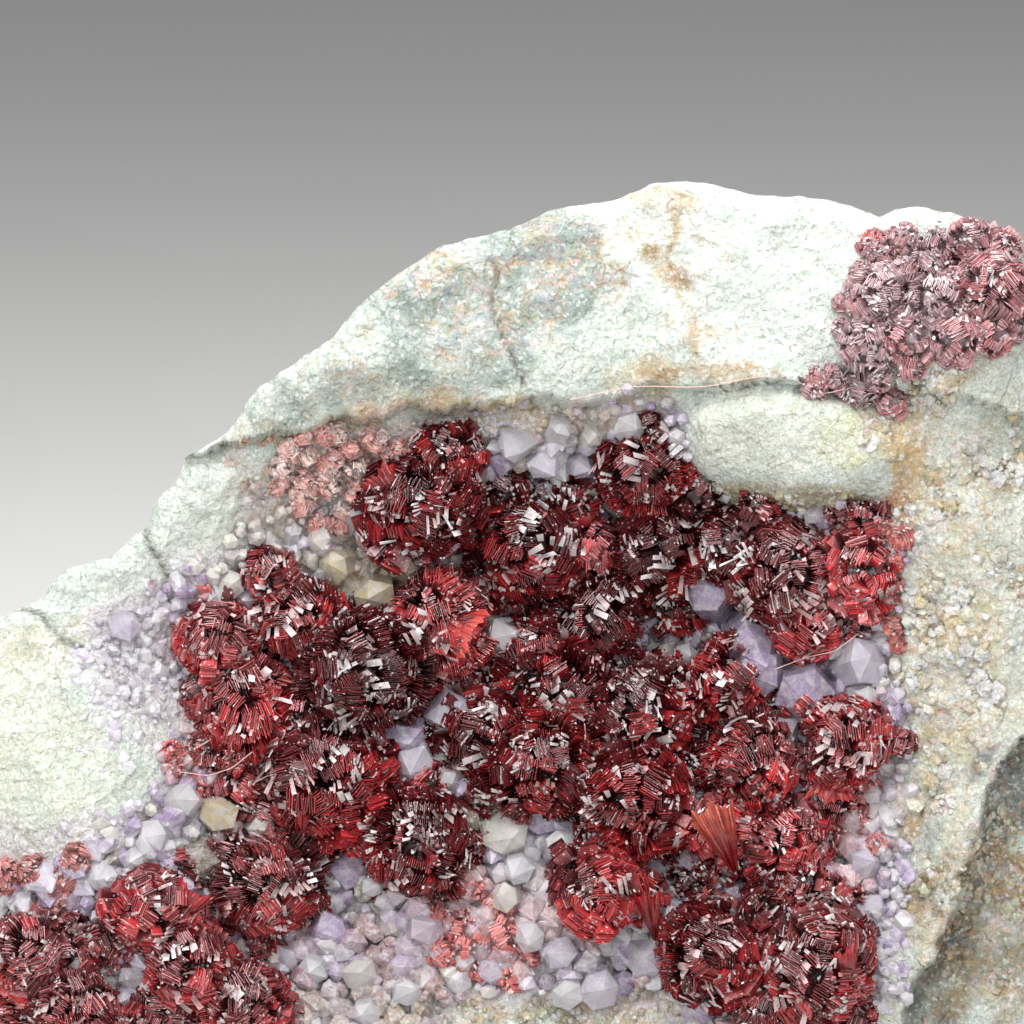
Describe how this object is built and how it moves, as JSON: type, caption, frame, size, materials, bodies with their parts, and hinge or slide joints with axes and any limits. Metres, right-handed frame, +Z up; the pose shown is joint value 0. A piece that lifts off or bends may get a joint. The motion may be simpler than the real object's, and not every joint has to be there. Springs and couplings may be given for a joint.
{
  "type": "wendwilsonite on matrix",
  "caption": "Standing block of pale green vein rock, its shallow hollow lined with lilac quartz crystals and deep red rosettes of bladed wendwilsonite.",
  "frame": {"origin": "middle of the bounding box of the whole block in plan, on the flat base it stands on", "axes": "+Z up; the crystal face looks towards -Y and leans back from upright; +X to the right of someone who faces the crystals"},
  "size_m": [0.066, 0.0306, 0.0532],
  "materials": {
    "vein_rock": "granular to glassy broken vein quartz, pale green and white with brown stains",
    "clear_quartz": "vitreous clear to milky lilac quartz",
    "red_crystals": "vitreous deep red blades with pearly faces",
    "pink_crystals": "fine pink crystals with a satin glitter",
    "dark_crystals": "fine dark purplish-red crystals with a dull glitter"
  },
  "bodies": {
    "root": {"matrix_rock": "vein_rock", "quartz_crust": "clear_quartz", "rosettes_1": "red_crystals", "rosettes_2": "red_crystals", "rosettes_3": "red_crystals", "rosettes_4": "red_crystals", "rosettes_5": "red_crystals", "rosettes_6": "red_crystals", "rosettes_7": "red_crystals", "rosettes_8": "red_crystals", "rosettes_9": "red_crystals", "rosettes_10": "red_crystals", "rosettes_11": "red_crystals", "rosettes_12": "red_crystals", "rosettes_13": "red_crystals", "rosettes_14": "red_crystals", "rosettes_15": "red_crystals", "rosettes_16": "red_crystals", "rosettes_17": "red_crystals", "rosettes_18": "red_crystals", "pink_crust": "pink_crystals", "dark_crust": "dark_crystals"}
  },
  "joints": []
}
